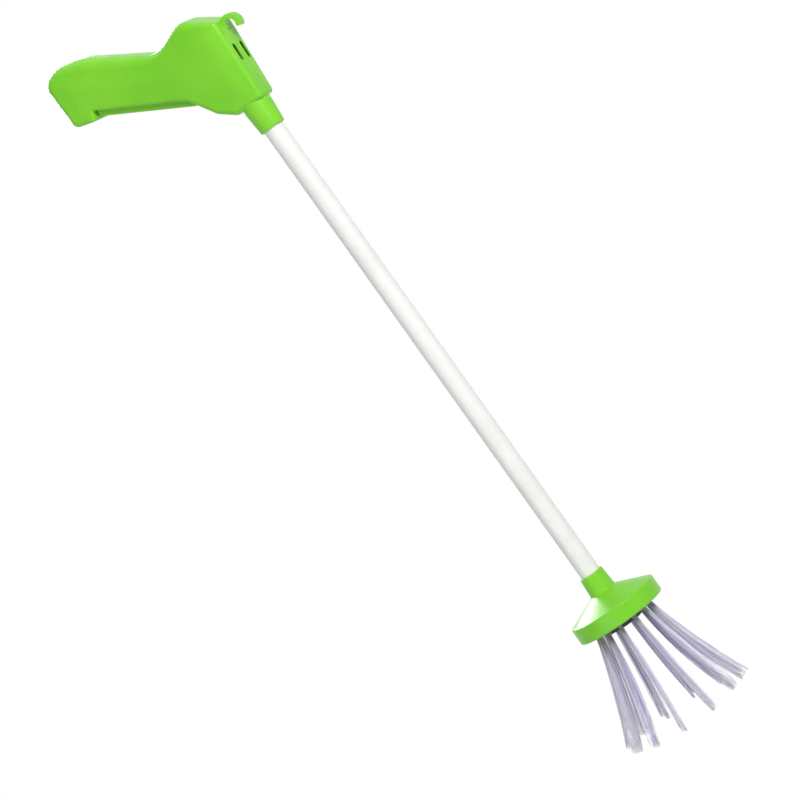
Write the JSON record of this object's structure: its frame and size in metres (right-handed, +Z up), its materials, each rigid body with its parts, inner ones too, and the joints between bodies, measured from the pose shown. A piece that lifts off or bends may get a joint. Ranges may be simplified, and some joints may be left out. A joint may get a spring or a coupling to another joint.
{
  "type": "spider catcher",
  "caption": "Handheld spider catcher: a hooked pistol handle whose trigger works a rod in a long tube and opens or closes a ring of soft bristle tufts round a spider.",
  "frame": {"origin": "inner top of the hanging hook, on the plane where the handle's shells part", "axes": "+Z up along the tube, +X to the handle's front face and hook, so the grip points to -X, and +Y to the left shell"},
  "size_m": [0.1874, 0.1122, 0.6622],
  "materials": {
    "green_plastic": "lime-green injection-moulded plastic, satin to gloss",
    "white_tube": "smooth white extruded tube",
    "black_plastic": "moulded, slightly matt",
    "white_nylon": "natural nylon",
    "steel": "bright zinc-plated steel",
    "lilac_bristle": "soft translucent lilac filaments, darker at the roots"
  },
  "bodies": {
    "housing": {"left_shell": "green_plastic", "right_shell": "green_plastic", "shell_screw_1": "steel", "shell_screw_2": "steel", "shell_screw_3": "steel", "shell_screw_4": "steel", "trigger_pin": "steel", "tube": "white_tube", "return_spring": "steel", "upper_rod_guide": "white_nylon", "lower_rod_guide": "white_nylon", "head_housing": "green_plastic", "pivot_ring": "black_plastic", "pivot_wire": "steel", "hub_cover": "black_plastic", "cover_screw_1": "steel", "cover_screw_2": "steel", "cover_screw_3": "steel", "ring_screw_1": "steel", "ring_screw_2": "steel", "ring_screw_3": "steel"},
    "trigger": {"trigger": "green_plastic"},
    "rod": {"push_rod": "steel", "rod_cap": "black_plastic", "cap_screw": "steel", "hub": "white_nylon", "hub_screw": "steel"},
    "bristle_arm_01": {"carrier_01": "white_nylon", "tuft_01": "lilac_bristle"},
    "bristle_arm_02": {"carrier_02": "white_nylon", "tuft_02": "lilac_bristle"},
    "bristle_arm_03": {"carrier_03": "white_nylon", "tuft_03": "lilac_bristle"},
    "bristle_arm_04": {"carrier_04": "white_nylon", "tuft_04": "lilac_bristle"},
    "bristle_arm_05": {"carrier_05": "white_nylon", "tuft_05": "lilac_bristle"},
    "bristle_arm_06": {"carrier_06": "white_nylon", "tuft_06": "lilac_bristle"},
    "bristle_arm_07": {"carrier_07": "white_nylon", "tuft_07": "lilac_bristle"},
    "bristle_arm_08": {"carrier_08": "white_nylon", "tuft_08": "lilac_bristle"},
    "bristle_arm_09": {"carrier_09": "white_nylon", "tuft_09": "lilac_bristle"},
    "bristle_arm_10": {"carrier_10": "white_nylon", "tuft_10": "lilac_bristle"},
    "bristle_arm_11": {"carrier_11": "white_nylon", "tuft_11": "lilac_bristle"},
    "bristle_arm_12": {"carrier_12": "white_nylon", "tuft_12": "lilac_bristle"}
  },
  "joints": [
    {"name": "rod_slide", "type": "slide", "parent": "housing", "child": "rod", "axis": [0, 0, 1], "range_m": [0, 0.00498], "stiffness_N_per_m": 1400, "springref_m": 0.0083, "deforming": ["return_spring"]},
    {"name": "trigger_pivot", "type": "hinge", "parent": "housing", "child": "trigger", "pos_m": [-0.04517, 0, -0.0203], "axis": [0, -1, 0], "range_deg": [0, 12.4]},
    {"name": "bristle_pivot_01", "type": "hinge", "parent": "housing", "child": "bristle_arm_01", "pos_m": [-0.00102, 0.00544, -0.5168], "axis": [-0.2588, 0.9659, 0], "range_deg": [0, 24.8]},
    {"name": "bristle_pivot_02", "type": "hinge", "parent": "housing", "child": "bristle_arm_02", "pos_m": [-0.00645, 0.01485, -0.5168], "axis": [-0.7071, 0.7071, 0], "range_deg": [0, 24.8]},
    {"name": "bristle_pivot_03", "type": "hinge", "parent": "housing", "child": "bristle_arm_03", "pos_m": [-0.01586, 0.02028, -0.5168], "axis": [-0.9659, 0.2588, 0], "range_deg": [0, 24.8]},
    {"name": "bristle_pivot_04", "type": "hinge", "parent": "housing", "child": "bristle_arm_04", "pos_m": [-0.02674, 0.02028, -0.5168], "axis": [-0.9659, -0.2588, 0], "range_deg": [0, 24.8]},
    {"name": "bristle_pivot_05", "type": "hinge", "parent": "housing", "child": "bristle_arm_05", "pos_m": [-0.03615, 0.01485, -0.5168], "axis": [-0.7071, -0.7071, 0], "range_deg": [0, 24.8]},
    {"name": "bristle_pivot_06", "type": "hinge", "parent": "housing", "child": "bristle_arm_06", "pos_m": [-0.04158, 0.00544, -0.5168], "axis": [-0.2588, -0.9659, 0], "range_deg": [0, 24.8]},
    {"name": "bristle_pivot_07", "type": "hinge", "parent": "housing", "child": "bristle_arm_07", "pos_m": [-0.04158, -0.00544, -0.5168], "axis": [0.2588, -0.9659, 0], "range_deg": [0, 24.8]},
    {"name": "bristle_pivot_08", "type": "hinge", "parent": "housing", "child": "bristle_arm_08", "pos_m": [-0.03615, -0.01485, -0.5168], "axis": [0.7071, -0.7071, 0], "range_deg": [0, 24.8]},
    {"name": "bristle_pivot_09", "type": "hinge", "parent": "housing", "child": "bristle_arm_09", "pos_m": [-0.02674, -0.02028, -0.5168], "axis": [0.9659, -0.2588, 0], "range_deg": [0, 24.8]},
    {"name": "bristle_pivot_10", "type": "hinge", "parent": "housing", "child": "bristle_arm_10", "pos_m": [-0.01586, -0.02028, -0.5168], "axis": [0.9659, 0.2588, 0], "range_deg": [0, 24.8]},
    {"name": "bristle_pivot_11", "type": "hinge", "parent": "housing", "child": "bristle_arm_11", "pos_m": [-0.00645, -0.01485, -0.5168], "axis": [0.7071, 0.7071, 0], "range_deg": [0, 24.8]},
    {"name": "bristle_pivot_12", "type": "hinge", "parent": "housing", "child": "bristle_arm_12", "pos_m": [-0.00102, -0.00544, -0.5168], "axis": [0.2588, 0.9659, 0], "range_deg": [0, 24.8]}
  ],
  "couplings": [
    {"joint": "trigger_pivot", "follows": "rod_slide", "rad_per_m": 42},
    {"joint": "bristle_pivot_01", "follows": "rod_slide", "rad_per_m": 84},
    {"joint": "bristle_pivot_02", "follows": "rod_slide", "rad_per_m": 84},
    {"joint": "bristle_pivot_03", "follows": "rod_slide", "rad_per_m": 84},
    {"joint": "bristle_pivot_04", "follows": "rod_slide", "rad_per_m": 84},
    {"joint": "bristle_pivot_05", "follows": "rod_slide", "rad_per_m": 84},
    {"joint": "bristle_pivot_06", "follows": "rod_slide", "rad_per_m": 84},
    {"joint": "bristle_pivot_07", "follows": "rod_slide", "rad_per_m": 84},
    {"joint": "bristle_pivot_08", "follows": "rod_slide", "rad_per_m": 84},
    {"joint": "bristle_pivot_09", "follows": "rod_slide", "rad_per_m": 84},
    {"joint": "bristle_pivot_10", "follows": "rod_slide", "rad_per_m": 84},
    {"joint": "bristle_pivot_11", "follows": "rod_slide", "rad_per_m": 84},
    {"joint": "bristle_pivot_12", "follows": "rod_slide", "rad_per_m": 84}
  ]
}
